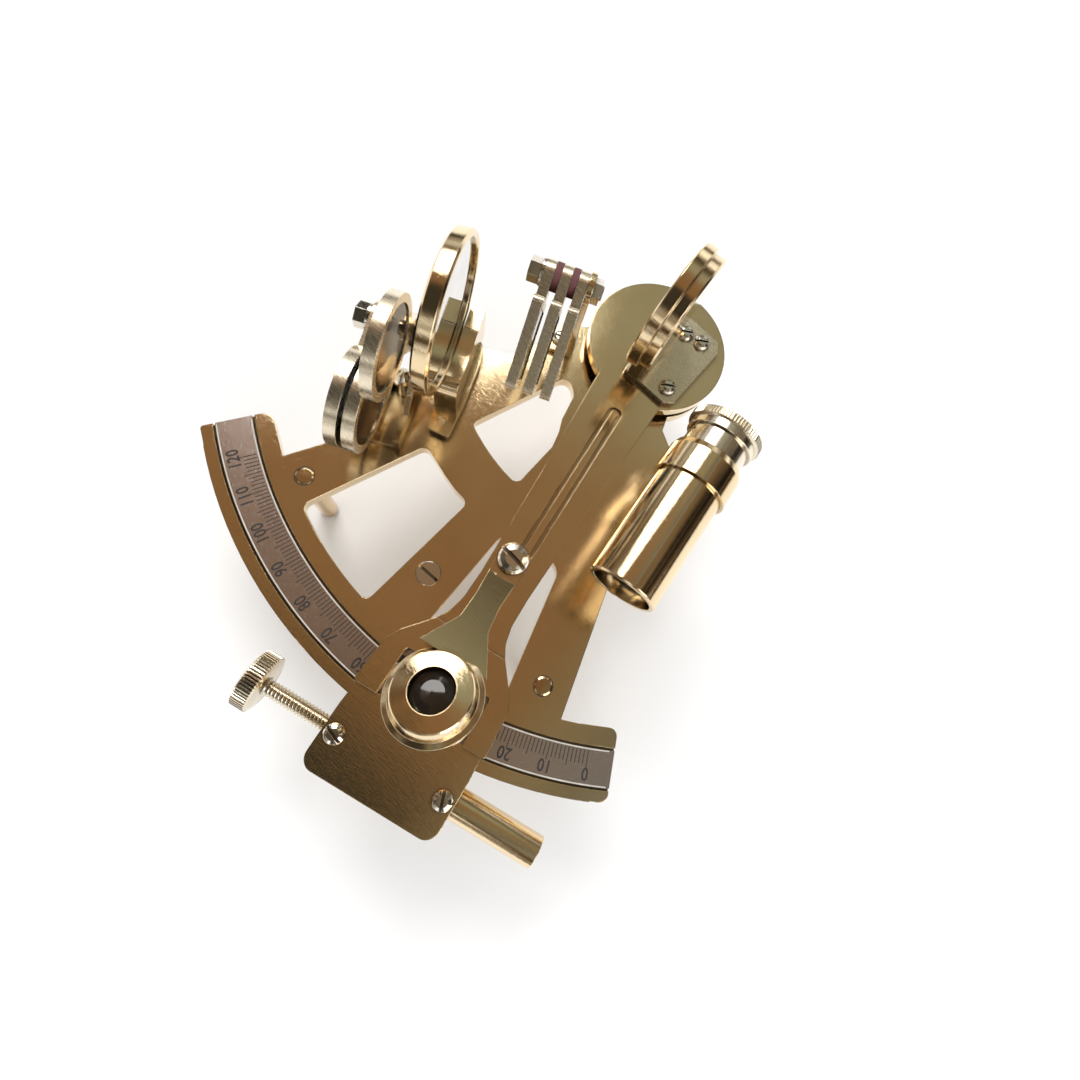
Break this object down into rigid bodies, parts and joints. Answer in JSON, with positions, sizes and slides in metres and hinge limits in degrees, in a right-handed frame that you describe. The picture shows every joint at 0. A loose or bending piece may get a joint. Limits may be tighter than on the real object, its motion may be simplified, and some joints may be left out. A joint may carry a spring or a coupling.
{
  "type": "nautical sextant",
  "caption": "Small brass nautical sextant: engraved arc frame on short legs, index arm with mirror and tangent screw, horizon mirror, hinged shades, telescope and magnifier.",
  "frame": {"origin": "at the foot of the leg beside the index arm's pivot, on the surface the sextant lies on", "axes": "+Z out of the engraved face (up when the sextant lies on its legs), +X towards the telescope side, and the arc lies towards -Y"},
  "size_m": [0.1067, 0.1265, 0.0687],
  "materials": {
    "brass": "polished, with fine brushing marks and small stains",
    "brass_dark": "polished, slightly aged",
    "brass_gold": "bright polished",
    "steel": "bright turned",
    "nickel_strip": "fine brushed, engraved scale",
    "mirror_glass": "silvered flat glass",
    "lens_glass": "clear polished",
    "shade_dark": "very dark neutral filter",
    "shade_brown": "dark brown filter",
    "shade_green": "dark green filter",
    "fibre": "dull red fibre"
  },
  "bodies": {
    "frame": {"frame_plate": "brass", "scale_strip": "nickel_strip", "legs": "brass_dark", "pivot_bush": "brass_gold", "grip": "brass_dark", "grip_posts": "brass_dark", "grip_screws": "steel", "horizon_mirror_base": "brass", "horizon_mirror_cell": "brass", "horizon_mirror": "mirror_glass", "horizon_mirror_screws": "steel", "horizon_shade_bracket": "brass", "horizon_bracket_nut": "steel", "horizon_shade_bolt": "steel", "horizon_shade_washers": "steel", "index_shade_bracket": "brass", "index_bracket_screw": "steel", "index_shade_bolt": "steel", "index_shade_nut": "steel", "index_shade_washers": "steel", "index_fibre_washers": "fibre", "telescope_post": "brass"},
    "index": {"pivot_shaft": "steel", "pivot_nut": "steel", "index_arm": "brass", "vernier_plate": "nickel_strip", "index_mirror_base": "brass_gold", "index_mirror_cell": "brass", "index_mirror": "mirror_glass", "index_mirror_screws": "steel", "magnifier_post": "brass", "magnifier_screw": "steel", "tangent_cover": "brass", "cover_screws": "steel", "tangent_bearing": "brass_dark", "spring_barrel": "brass"},
    "magnifier": {"magnifier_arm": "brass", "magnifier_lens": "lens_glass"},
    "tangent_screw": {"tangent_screw": "brass_gold"},
    "clamp": {"clamp_block": "brass_dark"},
    "clamp_screw": {"clamp_screw": "brass_gold"},
    "plunger": {"tangent_plunger": "steel", "tangent_spring": "steel"},
    "telescope": {"telescope_collar": "brass", "telescope_tube": "brass", "objective_lens": "lens_glass"},
    "eyepiece": {"eyepiece_tube": "brass_gold", "eyepiece_lens": "lens_glass"},
    "horizon_shade_1": {"horizon_shade_1": "brass_gold", "horizon_glass_1": "shade_green"},
    "index_shade_1": {"index_shade_1": "brass_gold", "index_glass_1": "shade_green"},
    "horizon_shade_2": {"horizon_shade_2": "brass_gold", "horizon_glass_2": "shade_brown"},
    "index_shade_2": {"index_shade_2": "brass_gold", "index_glass_2": "shade_brown"},
    "horizon_shade_3": {"horizon_shade_3": "brass_gold", "horizon_glass_3": "shade_dark"},
    "index_shade_3": {"index_shade_3": "brass_gold", "index_glass_3": "shade_dark"}
  },
  "joints": [
    {"name": "index_swing", "type": "hinge", "parent": "frame", "child": "index", "pos_m": [0, -0.0118, 0.028], "axis": [0, 0, 1], "range_deg": [-24, 20.6]},
    {"name": "horizon_shade_1_swing", "type": "hinge", "parent": "frame", "child": "horizon_shade_1", "pos_m": [-0.0439, -0.0563, 0.044], "axis": [-0.9018, -0.4321, 0], "range_deg": [-2, 100]},
    {"name": "horizon_shade_2_swing", "type": "hinge", "parent": "frame", "child": "horizon_shade_2", "pos_m": [-0.0439, -0.0563, 0.044], "axis": [-0.9018, -0.4321, 0], "range_deg": [-2, 98]},
    {"name": "horizon_shade_3_swing", "type": "hinge", "parent": "frame", "child": "horizon_shade_3", "pos_m": [-0.0439, -0.0563, 0.044], "axis": [-0.9018, -0.4321, 0], "range_deg": [-48, 45]},
    {"name": "index_shade_1_swing", "type": "hinge", "parent": "frame", "child": "index_shade_1", "pos_m": [-0.0252, -0.0284, 0.0514], "axis": [-0.9135, -0.4067, 0], "range_deg": [-1, 118]},
    {"name": "index_shade_2_swing", "type": "hinge", "parent": "frame", "child": "index_shade_2", "pos_m": [-0.0252, -0.0284, 0.0514], "axis": [-0.9135, -0.4067, 0], "range_deg": [-1, 118]},
    {"name": "index_shade_3_swing", "type": "hinge", "parent": "frame", "child": "index_shade_3", "pos_m": [-0.0252, -0.0284, 0.0514], "axis": [-0.9135, -0.4067, 0], "range_deg": [-1, 118]},
    {"name": "telescope_swivel", "type": "hinge", "parent": "frame", "child": "telescope", "pos_m": [0.0246, -0.0363, 0.051], "axis": [0, 0, 1], "range_deg": [-90, 15]},
    {"name": "eyepiece_draw", "type": "slide", "parent": "telescope", "child": "eyepiece", "axis": [0.0941, -0.9956, 0], "range_m": [-0.006, 0.0016]},
    {"name": "magnifier_swing", "type": "hinge", "parent": "index", "child": "magnifier", "pos_m": [0.0086, -0.07109, 0.0367], "axis": [0, 0, 1], "range_deg": [-18, 45]},
    {"name": "tangent_turn", "type": "hinge", "parent": "index", "child": "tangent_screw", "pos_m": [-0.00315, -0.1152, 0.025], "axis": [0.9866, 0.1633, 0], "range_deg": [-650, 650]},
    {"name": "clamp_fine", "type": "hinge", "parent": "index", "child": "clamp", "pos_m": [0, -0.0118, 0.028], "axis": [0, 0, 1], "range_deg": [-0.76, 0.76]},
    {"name": "plunger_slide", "type": "slide", "parent": "index", "child": "plunger", "axis": [0.9866, 0.1633, 0], "range_m": [-0.0014, 0.0014]},
    {"name": "clamp_screw_turn", "type": "hinge", "parent": "clamp", "child": "clamp_screw", "pos_m": [0.01462, -0.1001, 0.023], "axis": [0, 0, 1], "range_deg": [-540, 0]}
  ],
  "couplings": [
    {"joint": "tangent_turn", "follows": "clamp_fine", "ratio": -850.32},
    {"joint": "plunger_slide", "follows": "clamp_fine", "m_per_rad": 0.1015}
  ]
}
